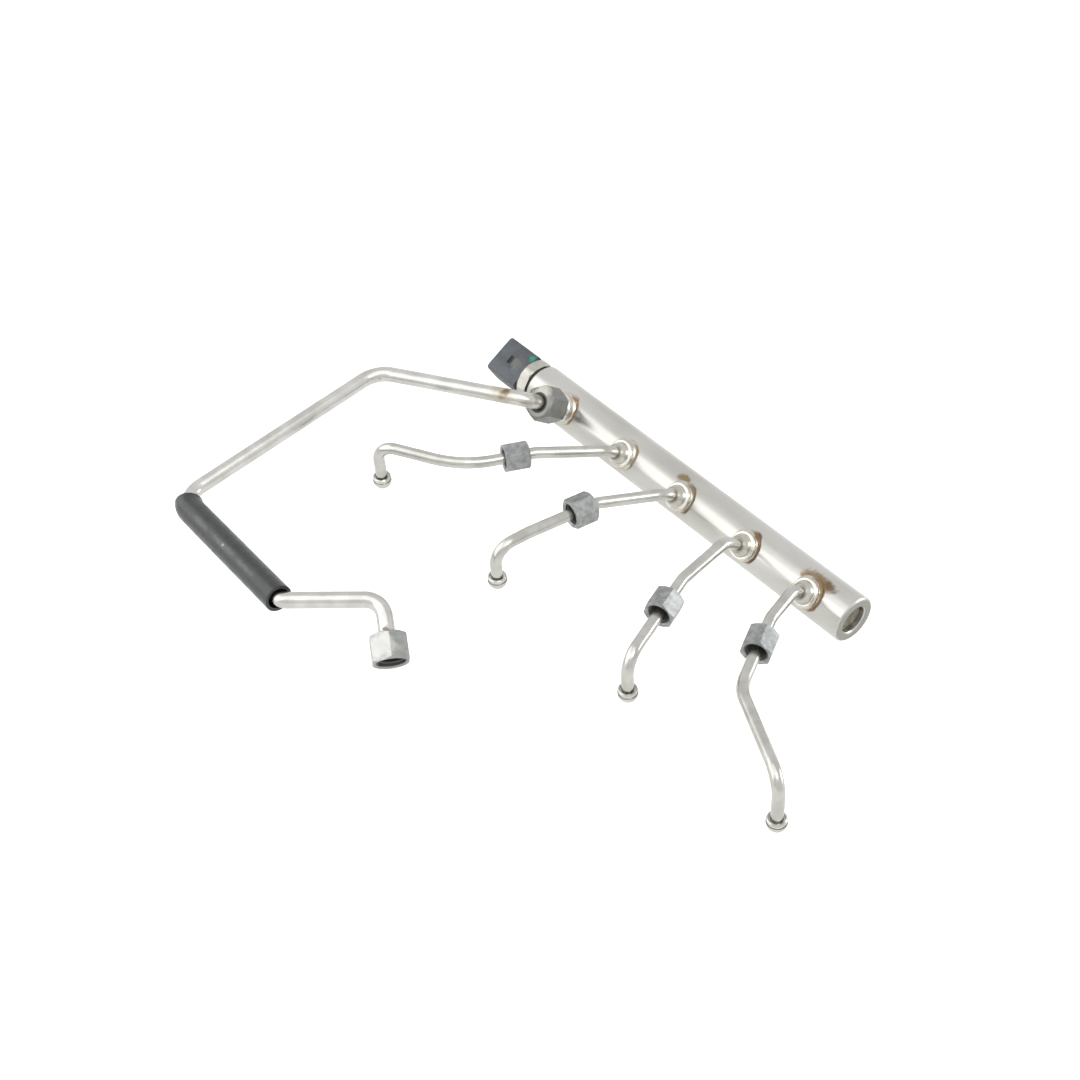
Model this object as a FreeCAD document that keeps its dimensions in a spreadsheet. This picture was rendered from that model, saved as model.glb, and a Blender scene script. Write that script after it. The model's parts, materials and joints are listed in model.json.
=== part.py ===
"""Four-cylinder high-pressure fuel rail with its lines, nuts, sleeve and sensor, in millimetres.

The origin lies on the rail's axis at its open end. X runs along the rail and points out of that
end, Z is up, and the injector lines reach out to negative Y.
"""
import FreeCAD
import Part
import Sketcher
import math
import os

doc = FreeCAD.newDocument("fuel_rail")
Vector = FreeCAD.Vector

# Driving sizes in millimetres and degrees
SIZES = {
    # rail tube and its end fittings
    "rail_od": 24.5,
    "rail_length": 231.5,
    "rail_bore": 14.5,
    "end_chamfer": 1.0,
    "mouth_chamfer": 0.9,
    "far_chamfer": 1.8,
    "plug_recess": 3.0,
    "plug_length": 9.0,
    "plug_dish": 1.2,
    "port_length": 16.0,
    "solder_gap": 0.05,
    # outlet and inlet bosses, placed by their share of the rail's length from its open end
    "boss_angle": 37.0,
    "outlet_1_share": 0.6635,
    "outlet_2_share": 0.4782,
    "outlet_3_share": 0.2782,
    "outlet_4_share": 0.0976,
    "inlet_share": 0.8726,
    "outlet_base_d": 14.6,
    "outlet_base_rise": 3.3,
    "outlet_cap_d": 11.4,
    "outlet_cap_share": 0.77,
    "socket_depth": 5.5,
    "orifice_d": 2.4,
    "braze_width": 1.0,
    "braze_rise": 1.3,
    "inlet_collar_d": 15.6,
    "inlet_collar_rise": 4.8,
    "inlet_thread_d": 13.8,
    "inlet_thread_rise": 12.6,
    "inlet_seat_d": 9.2,
    "inlet_seat_depth": 4.6,
    "inlet_rim": 0.7,
    # injector lines and their ball ends
    "line_od": 6.0,
    "line_bore": 3.0,
    "line_bend_radius": 10.0,
    "elbow_rise": 13.0,
    "elbow_rise_3": 18.5,
    "ball_pitch": 96.0,
    "ball_last_ahead": 56.5,
    "ball_reach": 107.7,
    "ball_lean": 4.0,
    "ball_d": 9.8,
    "ball_tip": 4.4,
    "ball_groove": 0.5,
    "collar_d": 9.2,
    "collar_top": 2.9,
    "collar_gap_d": 7.6,
    "collar_gap_depth": 1.1,
    "line_1_drop": 24.8,
    "line_2_drop": 20.5,
    "line_3_drop": 22.5,
    "line_4_drop": 29.0,
    # free bends of the injector lines: aside from the outlet, out from the rail, height, radius
    "line_1_first_aside": -22.2,
    "line_1_first_reach": 50.6,
    "line_1_first_height": 15.8,
    "line_1_first_radius": 10.0,
    "line_1_second_aside": -37.8,
    "line_1_second_reach": 85.4,
    "line_1_second_height": 15.8,
    "line_1_second_radius": 50.0,
    "line_2_first_aside": -17.1,
    "line_2_first_reach": 50.5,
    "line_2_first_height": 14.8,
    "line_2_first_radius": 10.0,
    "line_2_second_aside": -23.1,
    "line_2_second_reach": 90.3,
    "line_2_second_height": 13.8,
    "line_2_second_radius": 30.0,
    "line_3_first_aside": 4.2,
    "line_3_first_reach": 55.8,
    "line_3_first_height": 16.8,
    "line_3_first_radius": 16.0,
    "line_4_first_aside": 6.3,
    "line_4_first_reach": 41.3,
    "line_4_first_height": 15.8,
    "line_4_first_radius": 20.0,
    "line_4_second_aside": 27.1,
    "line_4_second_reach": 81.0,
    "line_4_second_height": 13.8,
    "line_4_second_radius": 23.0,
    # injector union nuts
    "nut_af": 14.0,
    "nut_length": 13.0,
    "nut_cavity_d": 10.5,
    "nut_cavity_depth": 8.5,
    "nut_mouth_chamfer": 0.8,
    "nut_clearance": 0.3,
    "nut_1_along": 3.5,
    "nut_2_along": 2.6,
    "nut_3_along": 13.1,
    "nut_4_along": 10.0,
    "nut_1_roll": 18.0,
    "nut_2_roll": 15.0,
    "nut_3_roll": -23.0,
    "nut_4_roll": -12.0,
    # feed pipe, its nuts and its sleeve
    "feed_od": 8.0,
    "feed_bore": 4.6,
    "feed_elbow_rise": 27.5,
    "feed_bend_radius": 10.0,
    "feed_top_bend_radius": 16.0,
    "feed_sleeve_bend_radius": 13.0,
    "feed_low_bend_radius": 8.0,
    "feed_top_aside": -75.2,
    "feed_top_reach": 76.3,
    "feed_top_height": 19.8,
    "feed_far_aside": -73.0,
    "feed_far_reach": 201.2,
    "feed_far_height": 1.8,
    "feed_low_aside": 26.5,
    "feed_low_reach": 206.0,
    "feed_low_height": 9.8,
    "feed_last_aside": 58.8,
    "feed_last_reach": 170.0,
    "feed_last_height": 12.2,
    "feed_end_length": 31.5,
    "feed_end_azimuth": -29.4,
    "feed_end_dip": 26.2,
    "feed_ball_d": 10.6,
    "feed_ball_tip": 4.2,
    "feed_collar_d": 10.4,
    "feed_collar_top": 2.9,
    "feed_collar_gap_d": 9.0,
    "feed_nut_af": 17.0,
    "feed_nut_length": 14.0,
    "feed_nut_cavity_d": 14.0,
    "feed_nut_cavity_depth": 10.8,
    "feed_nut_mouth_chamfer": 0.8,
    "feed_nut_gap": 0.4,
    "feed_nut_rail_roll": 17.0,
    "feed_nut_pump_roll": 28.5,
    "sleeve_wall": 2.7,
    "sleeve_clearance": 0.3,
    "sleeve_bend_share": 30.0,
    "sleeve_end_gap": 1.6,
    "sleeve_mouth_d": 10.8,
    "sleeve_mouth_depth": 6.0,
    # pressure sensor
    "sensor_gap": 1.1,
    "sensor_seat_d": 17.0,
    "sensor_flange_d": 24.0,
    "sensor_flange": 6.4,
    "sensor_af": 22.0,
    "sensor_stem_d": 8.8,
    "sensor_stem": 11.0,
    "sensor_spigot_d": 13.0,
    "sensor_spigot": 3.0,
    "sensor_bore": 2.4,
    "sensor_rim": 0.7,
    "housing_turn": 58.0,
    "housing_base_d": 21.0,
    "housing_base": 1.5,
    "housing_width": 21.8,
    "housing_front": 8.0,
    "housing_back": 8.7,
    "housing_length": 24.0,
    "housing_wall": 1.8,
    "housing_corner": 2.5,
    "socket_floor": 8.5,
    "latch_width": 5.6,
    "latch_length": 6.4,
    "latch_rise": 1.6,
    "latch_start": 4.8,
    "window_width": 4.8,
    "window_start": 12.6,
    "window_length": 2.8,
    "window_depth": 1.1,
    "terminal_pitch": 5.0,
    "terminal_width": 1.6,
    "terminal_thick": 0.8,
    "terminal_length": 9.0,
}

# The free bends of each injector line, between its elbow over the rail and the one over its ball
FREE_BENDS = {1: ("first", "second"), 2: ("first", "second"), 3: ("first",), 4: ("first", "second")}
# Roundings of an outlet boss, as shares of the width that each one lies on
RIM_SHARE = 0.5
FOOT_SHARE = 0.35
# Forms that all union nuts share
NUT_CHAMFER_ANGLE = 30.0
NUT_REAR_FACE_SHARE = 0.9
NUT_CONE_RISE = 0.5
# How far a cutting tool runs past the face that it starts from
OVERRUN = 1.0

sheet = doc.addObject("Spreadsheet::Sheet", "Sizes")
for row, (word, number) in enumerate(SIZES.items(), start=1):
    sheet.set("A%d" % row, word)
    sheet.set("B%d" % row, str(number))
    sheet.setAlias("B%d" % row, word)
doc.recompute()


class Size:
    """A number together with the sheet expression that gives it."""

    def __init__(self, value, text):
        self.value = value
        self.text = text

    def _join(self, sign, other, value, swapped=False):
        other_text = other.text if isinstance(other, Size) else repr(other)
        left, right = (other_text, self.text) if swapped else (self.text, other_text)
        return Size(value, "(%s %s %s)" % (left, sign, right))

    def __add__(self, other):
        return self._join("+", other, self.value + number_of(other))

    def __radd__(self, other):
        return self._join("+", other, number_of(other) + self.value, swapped=True)

    def __sub__(self, other):
        return self._join("-", other, self.value - number_of(other))

    def __rsub__(self, other):
        return self._join("-", other, number_of(other) - self.value, swapped=True)

    def __mul__(self, other):
        return self._join("*", other, self.value * number_of(other))

    def __truediv__(self, other):
        return self._join("/", other, self.value / number_of(other))

    def __neg__(self):
        return 0.0 - self


def number_of(item):
    """Return the plain number of a Size or of a number."""
    return item.value if isinstance(item, Size) else float(item)


def size(word):
    """Return a sheet value as a Size."""
    return Size(float(sheet.get(word)), "Sizes." + word)


def mm(word):
    """Return a sheet value as a plain number."""
    return float(sheet.get(word))


# Sketch, body and placement helpers

def bind(thing, path, item):
    """Tie a property to the sheet when the item comes from it."""
    if isinstance(item, Size):
        thing.setExpression(path, item.text)


def new_body(label):
    """Add an empty body with the given label."""
    body = doc.addObject("PartDesign::Body", label)
    body.Label = label
    return body


def new_sketch(body, role, lift=None):
    """Add a sketch on one of the body's origin planes, lifted along the plane's normal."""
    sketch = body.newObject("Sketcher::SketchObject", body.Label + "_sketch")
    plane = [feature for feature in body.Origin.OriginFeatures if feature.Role == role][0]
    sketch.AttachmentSupport = [(plane, "")]
    sketch.MapMode = "FlatFace"
    if lift is not None:
        sketch.AttachmentOffset = FreeCAD.Placement(Vector(0, 0, number_of(lift)), FreeCAD.Rotation())
        bind(sketch, "AttachmentOffset.Base.z", lift)
    return sketch


def fix_point(sketch, geometry, point, x, y):
    """Hold one point of the sketch at x and y."""
    for kind, axis, place in (("DistanceX", -2, x), ("DistanceY", -1, y)):
        if number_of(place) == 0.0 and not isinstance(place, Size):
            sketch.addConstraint(Sketcher.Constraint("PointOnObject", geometry, point, axis))
            continue
        index = sketch.addConstraint(
            Sketcher.Constraint(kind, -1, 1, geometry, point, number_of(place)))
        bind(sketch, "Constraints[%d]" % index, place)


def add_loop(sketch, corners):
    """Draw a closed loop of straight edges through the corners."""
    points = [Vector(number_of(x), number_of(y), 0) for x, y in corners]
    first = sketch.GeometryCount
    count = len(points)
    for step in range(count):
        sketch.addGeometry(Part.LineSegment(points[step], points[(step + 1) % count]), False)
    for step in range(count):
        following = first + (step + 1) % count
        sketch.addConstraint(Sketcher.Constraint("Coincident", first + step, 2, following, 1))
    for step, (x, y) in enumerate(corners):
        fix_point(sketch, first + step, 1, x, y)


def add_circle(sketch, radius, x=0.0, y=0.0):
    """Draw a circle with its centre at x and y."""
    centre = Vector(number_of(x), number_of(y), 0)
    geometry = sketch.addGeometry(Part.Circle(centre, Vector(0, 0, 1), number_of(radius)), False)
    index = sketch.addConstraint(Sketcher.Constraint("Radius", geometry, number_of(radius)))
    bind(sketch, "Constraints[%d]" % index, radius)
    fix_point(sketch, geometry, 3, x, y)


def add_rectangle(sketch, left, right, bottom, top):
    """Draw an upright rectangle."""
    add_loop(sketch, ((left, bottom), (right, bottom), (right, top), (left, top)))


def turn_profile(body, sketch, axis, cut=False):
    """Turn the sketch once round one of its axes, as material or as a cut."""
    kind = "PartDesign::Groove" if cut else "PartDesign::Revolution"
    feature = body.newObject(kind, body.Label + ("_groove" if cut else "_turned"))
    feature.Profile = sketch
    feature.ReferenceAxis = (sketch, [axis])
    feature.Angle = 360.0
    doc.recompute()
    return feature


def raise_profile(body, sketch, length):
    """Pad the sketch along its plane's normal."""
    feature = body.newObject("PartDesign::Pad", body.Label + "_pad")
    feature.Profile = sketch
    feature.Length = number_of(length)
    bind(feature, "Length", length)
    doc.recompute()
    return feature


def cut_profile(body, sketch, length, along_normal=False, both_ways=False):
    """Pocket the sketch against its plane's normal, along it, or both ways, and prove that it cut."""
    volume_before = body.Shape.Volume
    feature = body.newObject("PartDesign::Pocket", body.Label + "_pocket")
    feature.Profile = sketch
    feature.Length = number_of(length)
    feature.Reversed = along_normal
    feature.Midplane = both_ways
    bind(feature, "Length", length)
    doc.recompute()
    if body.Shape.Volume >= volume_before:
        raise RuntimeError("a pocket of %s removed nothing" % body.Label)
    return feature


def round_edges(body, feature, names, radius):
    """Fillet the named edges of a body's newest feature."""
    fillet = body.newObject("PartDesign::Fillet", body.Label + "_rounding")
    fillet.Base = (feature, names)
    fillet.Radius = number_of(radius)
    bind(fillet, "Radius", radius)
    doc.recompute()
    return fillet


def round_ring(body, feature, ring, height, radius):
    """Fillet the circular edge of the given radius that lies at a height on local Z."""
    names = []
    for index, edge in enumerate(feature.Shape.Edges, start=1):
        if not isinstance(edge.Curve, Part.Circle):
            continue
        same_radius = abs(edge.Curve.Radius - ring.value) < 1e-4
        if same_radius and abs(edge.Curve.Center.z - height.value) < 1e-4:
            names.append("Edge%d" % index)
    return round_edges(body, feature, names, radius)


def stand_on_rail(thing, back):
    """Turn a piece's local Z to the bosses' direction at a distance back from the open end."""
    tilt = FreeCAD.Rotation(Vector(1, 0, 0), 90.0 - mm("boss_angle"))
    thing.Placement = FreeCAD.Placement(Vector(-number_of(back), 0, 0), tilt)
    bind(thing, "Placement.Base.x", 0.0 - back)
    thing.setExpression("Placement.Rotation.Angle", "(90 - Sizes.boss_angle) * 1 deg")


rail_radius = size("rail_od") / 2
bore_radius = size("rail_bore") / 2
line_radius = size("line_od") / 2
feed_radius = size("feed_od") / 2
socket_radius = line_radius + size("solder_gap")
inlet_back = size("rail_length") * size("inlet_share")
boss_direction = Vector(0, -math.cos(math.radians(mm("boss_angle"))),
                        math.sin(math.radians(mm("boss_angle"))))


def outlet_back(number):
    """Return how far one outlet lies behind the open end."""
    return size("rail_length") * size("outlet_%d_share" % number)


def over_rail(back, rise):
    """Return the point at a rise above the rail's surface in the bosses' direction."""
    return Vector(-back.value, 0, 0) + boss_direction * (rail_radius.value + rise)


def free_corner(name, back):
    """Return a bend corner in free space, measured from the outlet or inlet that its line leaves."""
    return Vector(mm(name + "_aside") - back.value, -mm(name + "_reach"), mm(name + "_height"))


# Rail tube with its drilled outlets and inlet

def build_rail_tube():
    """Turn the thick tube and drill its five radial ports."""
    body = new_body("rail_tube")
    sketch = new_sketch(body, "XZ_Plane")
    length = size("rail_length")
    mouth = size("mouth_chamfer")
    end = size("end_chamfer")
    far = size("far_chamfer")
    add_loop(sketch, (
        (0.0, bore_radius + mouth),
        (-mouth, bore_radius),
        (-length, bore_radius),
        (-length, rail_radius - far),
        (far - length, rail_radius),
        (-end, rail_radius),
        (0.0, rail_radius - end),
    ))
    turn_profile(body, sketch, "H_Axis")
    ports = new_sketch(body, "XY_Plane")
    for back in [outlet_back(number) for number in FREE_BENDS] + [inlet_back]:
        add_circle(ports, size("orifice_d") / 2, x=-back)
    cut_profile(body, ports, size("rail_od"), along_normal=True)
    tilt = FreeCAD.Rotation(Vector(1, 0, 0), 90.0 - mm("boss_angle"))
    body.Placement = FreeCAD.Placement(Vector(), tilt)
    body.setExpression("Placement.Rotation.Angle", "(90 - Sizes.boss_angle) * 1 deg")
    return body


def build_end_plug():
    """Turn the dished plug that closes the open end."""
    body = new_body("end_plug")
    sketch = new_sketch(body, "XZ_Plane")
    face = -size("plug_recess")
    back = face - size("plug_length")
    radius = bore_radius - size("solder_gap")
    dish = size("plug_dish")
    add_loop(sketch, (
        (face - dish, 0.0),
        (face, radius - dish),
        (face, radius - dish / 2),
        (face - dish / 2, radius),
        (back, radius),
        (back, 0.0),
    ))
    turn_profile(body, sketch, "H_Axis")
    return body


def build_sensor_port():
    """Turn the insert in the far end that takes the sensor's thread."""
    body = new_body("sensor_port")
    sketch = new_sketch(body, "XZ_Plane")
    face = -size("rail_length")
    inner = face + size("port_length")
    thread = size("sensor_stem_d") / 2 + size("solder_gap")
    throat = size("sensor_bore") / 2
    floor = face + size("sensor_stem") + size("solder_gap")
    add_loop(sketch, (
        (face, thread),
        (floor, thread),
        (floor, throat),
        (inner, throat),
        (inner, bore_radius - size("solder_gap")),
        (face, bore_radius - size("solder_gap")),
    ))
    turn_profile(body, sketch, "H_Axis")
    return body


# Bosses and their braze rings

def cut_saddle(body):
    """Cut the rail's round out of a boss, so that it sits on the tube."""
    saddle = new_sketch(body, "YZ_Plane")
    add_circle(saddle, rail_radius)
    cut_profile(body, saddle, size("rail_od") * 2, both_ways=True)


def outlet_rise():
    """Return how far an outlet boss stands over the rail, its ball cap cut off flat at a share."""
    return size("outlet_base_rise") + size("outlet_cap_d") / 2 * size("outlet_cap_share")


def add_ball_cap(sketch, radius, middle, top):
    """Draw half a ball's outline from its middle up to a flat top, closed along the axis."""
    low = number_of(middle)
    high = number_of(top)
    across = math.sqrt(number_of(radius) ** 2 - (high - low) ** 2)
    centre = Vector(0, low, 0)
    circle = Part.Circle(centre, Vector(0, 0, 1), number_of(radius))
    end_angle = math.atan2(high - low, across)
    arc = sketch.addGeometry(Part.ArcOfCircle(circle, 0.0, end_angle), False)
    edge = Vector(across, high, 0)
    peak = Vector(0, high, 0)
    flat = sketch.addGeometry(Part.LineSegment(edge, peak), False)
    axis = sketch.addGeometry(Part.LineSegment(peak, centre), False)
    floor = sketch.addGeometry(Part.LineSegment(centre, Vector(number_of(radius), low, 0)), False)
    for first, second in ((arc, flat), (flat, axis), (axis, floor)):
        sketch.addConstraint(Sketcher.Constraint("Coincident", first, 2, second, 1))
    sketch.addConstraint(Sketcher.Constraint("Coincident", floor, 2, arc, 1))
    sketch.addConstraint(Sketcher.Constraint("Coincident", arc, 3, floor, 1))
    sketch.addConstraint(Sketcher.Constraint("Horizontal", flat))
    sketch.addConstraint(Sketcher.Constraint("Horizontal", floor))
    fix_point(sketch, axis, 1, 0.0, top)
    fix_point(sketch, axis, 2, 0.0, middle)
    index = sketch.addConstraint(Sketcher.Constraint("Radius", arc, number_of(radius)))
    bind(sketch, "Constraints[%d]" % index, radius)


def build_outlet_boss(number):
    """Turn an outlet boss with a rounded foot, a ball-shaped cap and a socket for the line."""
    body = new_body("outlet_boss_%d" % number)
    base = size("outlet_base_d") / 2
    cap = size("outlet_cap_d") / 2
    step = rail_radius + size("outlet_base_rise")
    top = rail_radius + outlet_rise()
    floor = top - size("socket_depth")
    hole = size("orifice_d") / 2
    foot = new_sketch(body, "XZ_Plane")
    add_rectangle(foot, 0.0, base, rail_radius / 2, step)
    turn_profile(body, foot, "V_Axis")
    ball = new_sketch(body, "XZ_Plane")
    add_ball_cap(ball, cap, step, top)
    boss = turn_profile(body, ball, "V_Axis")
    boss = round_ring(body, boss, base, step, (base - cap) * RIM_SHARE)
    round_ring(body, boss, cap, step, (base - cap) * FOOT_SHARE)
    socket = new_sketch(body, "XZ_Plane")
    add_loop(socket, (
        (0.0, 0.0),
        (hole, 0.0),
        (hole, floor),
        (socket_radius, floor),
        (socket_radius, top + OVERRUN),
        (0.0, top + OVERRUN),
    ))
    turn_profile(body, socket, "V_Axis", cut=True)
    cut_saddle(body)
    stand_on_rail(body, outlet_back(number))
    return body


def build_inlet_boss():
    """Turn the inlet boss with its collar, its thread and the cone that the feed pipe seals in."""
    body = new_body("inlet_boss")
    sketch = new_sketch(body, "XZ_Plane")
    collar = size("inlet_collar_d") / 2
    thread = size("inlet_thread_d") / 2
    rim = size("inlet_rim")
    step = rail_radius + size("inlet_collar_rise")
    top = rail_radius + size("inlet_thread_rise")
    hole = size("orifice_d") / 2
    inside = rail_radius / 2
    add_loop(sketch, (
        (hole, inside),
        (collar, inside),
        (collar, step - rim),
        (collar - rim, step),
        (thread - rim, step),
        (thread - rim, step + rim),
        (thread, step + rim * 2),
        (thread, top - rim),
        (thread - rim, top),
        (size("inlet_seat_d") / 2, top),
        (hole, top - size("inlet_seat_depth")),
    ))
    turn_profile(body, sketch, "V_Axis")
    cut_saddle(body)
    stand_on_rail(body, inlet_back)
    return body


def build_braze_ring(label, back, boss_radius):
    """Make the filler ring that runs round the foot of a boss on the tube."""
    reach = boss_radius + size("braze_width")
    top = rail_radius + size("braze_rise")
    ring = doc.addObject("Part::Cylinder", label + "_reach")
    bind(ring, "Radius", reach)
    bind(ring, "Height", top)
    slope = doc.addObject("Part::Cone", label + "_slope")
    bind(slope, "Radius1", boss_radius + top)
    bind(slope, "Radius2", boss_radius)
    bind(slope, "Height", top)
    core = doc.addObject("Part::Cylinder", label + "_core")
    bind(core, "Radius", boss_radius)
    bind(core, "Height", top * 2)
    for solid in (ring, slope, core):
        stand_on_rail(solid, back)
    rail = doc.addObject("Part::Cylinder", label + "_rail")
    bind(rail, "Radius", rail_radius)
    bind(rail, "Height", reach * 4)
    rail.Placement = FreeCAD.Placement(Vector(0, 0, 0), FreeCAD.Rotation(Vector(0, 1, 0), 90))
    bind(rail, "Placement.Base.x", 0.0 - back - reach * 2)
    outer = doc.addObject("Part::MultiCommon", label + "_outer")
    outer.Shapes = [ring, slope]
    inner = doc.addObject("Part::MultiFuse", label + "_inner")
    inner.Shapes = [core, rail]
    braze = doc.addObject("Part::Cut", label)
    braze.Base = outer
    braze.Tool = inner
    braze.Label = label
    doc.recompute()
    return braze


# Bent round bars, the base of every line

def unit(vector):
    """Return the vector at length one."""
    return Vector(vector).normalize()


def bent_bar(corners, bend_radii, bar_radius):
    """Return a solid round bar through the corners with a round bend at each inner one."""
    pieces = []
    start = corners[0]
    for before, corner, after, bend in zip(corners, corners[1:], corners[2:], bend_radii):
        incoming = unit(corner - before)
        outgoing = unit(after - corner)
        turn = incoming.getAngle(outgoing)
        reach = bend * math.tan(turn / 2)
        bend_start = corner - incoming * reach
        axis = unit(incoming.cross(outgoing))
        centre = bend_start + axis.cross(incoming) * bend
        pieces.append(Part.makeCylinder(bar_radius, start.distanceToPoint(bend_start), start, incoming))
        disc = Part.Face(Part.Wire(Part.makeCircle(bar_radius, bend_start, incoming)))
        pieces.append(disc.revolve(centre, axis, math.degrees(turn)))
        start = corner + outgoing * reach
    end = corners[-1]
    pieces.append(Part.makeCylinder(bar_radius, start.distanceToPoint(end), start, unit(end - start)))
    return pieces[0].multiFuse(pieces[1:])


def lengthened(corners, ahead, behind):
    """Return the corners with the first and last moved outwards along their straights."""
    first = corners[0] - unit(corners[1] - corners[0]) * behind
    last = corners[-1] + unit(corners[-1] - corners[-2]) * ahead
    return [first] + list(corners[1:-1]) + [last]


def ball_end(centre, tip_direction, prefix, collar_gap_depth, groove):
    """Return the formed ball with its back collar, its tip turned to the given direction."""
    ball = mm(prefix + "ball_d") / 2
    tip = mm(prefix + "ball_tip")
    collar = mm(prefix + "collar_d") / 2
    top = mm(prefix + "collar_top")
    gap = mm(prefix + "collar_gap_d") / 2
    waist = math.sqrt(ball ** 2 - groove ** 2)
    tip_radius = math.sqrt(ball ** 2 - tip ** 2)
    outline = [
        Vector(waist, 0, groove),
        Vector(waist - groove, 0, groove),
        Vector(waist - groove, 0, groove * 2),
        Vector(collar, 0, groove * 2),
        Vector(collar, 0, top - groove),
        Vector(collar - groove, 0, top),
        Vector(gap, 0, top),
        Vector(gap, 0, top - collar_gap_depth),
        Vector(0, 0, top - collar_gap_depth),
        Vector(0, 0, -tip),
        Vector(tip_radius, 0, -tip),
    ]
    edges = [Part.LineSegment(a, b).toShape() for a, b in zip(outline, outline[1:])]
    side = Part.Arc(Vector(tip_radius, 0, -tip), Vector(ball, 0, 0), Vector(waist, 0, groove))
    edges.append(side.toShape())
    solid = Part.Face(Part.Wire(edges)).revolve(Vector(), Vector(0, 0, 1), 360)
    solid.Placement = FreeCAD.Placement(centre, FreeCAD.Rotation(Vector(0, 0, -1), tip_direction))
    return solid


def add_solid(label, shape):
    """Put a shape made by Part functions into the document."""
    feature = doc.addObject("Part::Feature", label)
    feature.Shape = shape.removeSplitter()
    feature.Label = label
    return feature


# Injector lines

def injector_corners(number):
    """Return the corners of one line from its socket to the centre of its ball."""
    lean = math.radians(mm("ball_lean"))
    tip_radius = math.sqrt((mm("ball_d") / 2) ** 2 - mm("ball_tip") ** 2)
    ball_height = mm("ball_tip") * math.cos(lean) + tip_radius * math.sin(lean) - rail_radius.value
    back_steps = 4 - number
    ball = Vector(mm("ball_last_ahead") - mm("ball_pitch") * back_steps, -mm("ball_reach"), ball_height)
    up = Vector(0, -math.sin(lean), math.cos(lean))
    back = outlet_back(number)
    elbow = mm("elbow_rise_3") if number == 3 else mm("elbow_rise")
    free = [free_corner("line_%d_%s" % (number, bend), back) for bend in FREE_BENDS[number]]
    start = outlet_rise().value - mm("socket_depth") + mm("solder_gap")
    top = ball + up * mm("line_%d_drop" % number)
    return [over_rail(back, start), over_rail(back, elbow), *free, top, ball]


def build_injector_line(number):
    """Bend one line, add its ball end and bore it through."""
    corners = injector_corners(number)
    elbow = mm("line_bend_radius")
    soft = [mm("line_%d_%s_radius" % (number, bend)) for bend in FREE_BENDS[number]]
    bends = [elbow, *soft, elbow]
    bar = bent_bar(corners, bends, line_radius.value)
    down = unit(corners[-1] - corners[-2])
    ball = ball_end(corners[-1], down, "", mm("collar_gap_depth"), mm("ball_groove"))
    bore = bent_bar(lengthened(corners, mm("ball_d"), OVERRUN), bends, mm("line_bore") / 2)
    return add_solid("injector_line_%d" % number, bar.fuse(ball).cut(bore))


# Union nuts

def build_union_nut(label, prefix, bore_radius_wanted, rear, direction, roll):
    """Make a hexagon nut, rolled on its axis, with its open side in the given direction."""
    body = new_body(label)
    half_flats = size(prefix + "nut_af") / 2
    length = size(prefix + "nut_length")
    cavity = size(prefix + "nut_cavity_d") / 2
    mouth = length - size(prefix + "nut_cavity_depth")
    hexagon = new_sketch(body, "XY_Plane")
    add_hexagon(hexagon, half_flats)
    raise_profile(body, hexagon, length)
    turned = new_sketch(body, "XZ_Plane")
    chamfer = size(prefix + "nut_mouth_chamfer")
    add_loop(turned, (
        (0.0, -OVERRUN),
        (bore_radius_wanted, -OVERRUN),
        (bore_radius_wanted, mouth - (cavity - bore_radius_wanted) * NUT_CONE_RISE),
        (cavity, mouth),
        (cavity, length - chamfer),
        (cavity + chamfer, length),
        (cavity + chamfer, length + OVERRUN),
        (0.0, length + OVERRUN),
    ))
    slope = math.tan(math.radians(NUT_CHAMFER_ANGLE))
    beyond = half_flats * 1.5
    rear_face = half_flats * NUT_REAR_FACE_SHARE
    add_loop(turned, ((rear_face, 0.0), (beyond, 0.0), (beyond, (beyond - rear_face) * slope)))
    front = length - (beyond - half_flats) * slope
    add_loop(turned, ((half_flats, length), (beyond, front), (beyond, length)))
    turn_profile(body, turned, "V_Axis", cut=True)
    rolled = FreeCAD.Rotation(Vector(0, 0, 1), roll)
    facing = FreeCAD.Rotation(Vector(0, 0, 1), direction)
    body.Placement = FreeCAD.Placement(rear, facing.multiply(rolled))
    return body


def add_hexagon(sketch, half_flats):
    """Draw a hexagon with the given half width over its flats."""
    corner = half_flats * (2.0 / math.sqrt(3.0))
    side = corner / 2
    add_loop(sketch, (
        (corner, 0.0),
        (side, half_flats),
        (-side, half_flats),
        (-corner, 0.0),
        (-side, -half_flats),
        (side, -half_flats),
    ))


def build_injector_nut(number):
    """Make the loose nut on a line, on the straight that follows the line's first free bend."""
    bend, following = injector_corners(number)[2:4]
    direction = unit(following - bend)
    rear = bend + direction * mm("nut_%d_along" % number)
    bore = line_radius + size("nut_clearance")
    label = "injector_nut_%d" % number
    return build_union_nut(label, "", bore, rear, direction, mm("nut_%d_roll" % number))


# Feed pipe, its two nuts and its sleeve

def feed_corners():
    """Return the corners of the feed pipe from the inlet's ball to the pump-side ball."""
    ball_rise = mm("inlet_thread_rise") + inlet_ball_lift()
    azimuth = math.radians(mm("feed_end_azimuth"))
    dip = math.radians(mm("feed_end_dip"))
    out = Vector(math.cos(dip) * math.cos(azimuth), math.cos(dip) * math.sin(azimuth), -math.sin(dip))
    free = [free_corner("feed_" + bend, inlet_back) for bend in ("top", "far", "low", "last")]
    end = free[-1] + out * (mm("feed_end_length") - feed_ball_depth())
    return [over_rail(inlet_back, ball_rise), over_rail(inlet_back, mm("feed_elbow_rise")), *free, end]


def inlet_ball_lift():
    """Return how far the feed ball's centre stands above the inlet's top when it seals in the cone."""
    half_angle = math.atan((mm("inlet_seat_d") - mm("orifice_d")) / 2 / mm("inlet_seat_depth"))
    apex = mm("inlet_seat_d") / 2 / math.tan(half_angle)
    touch = mm("feed_ball_d") / 2 / math.sin(half_angle)
    return touch - apex + mm("solder_gap")


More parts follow.
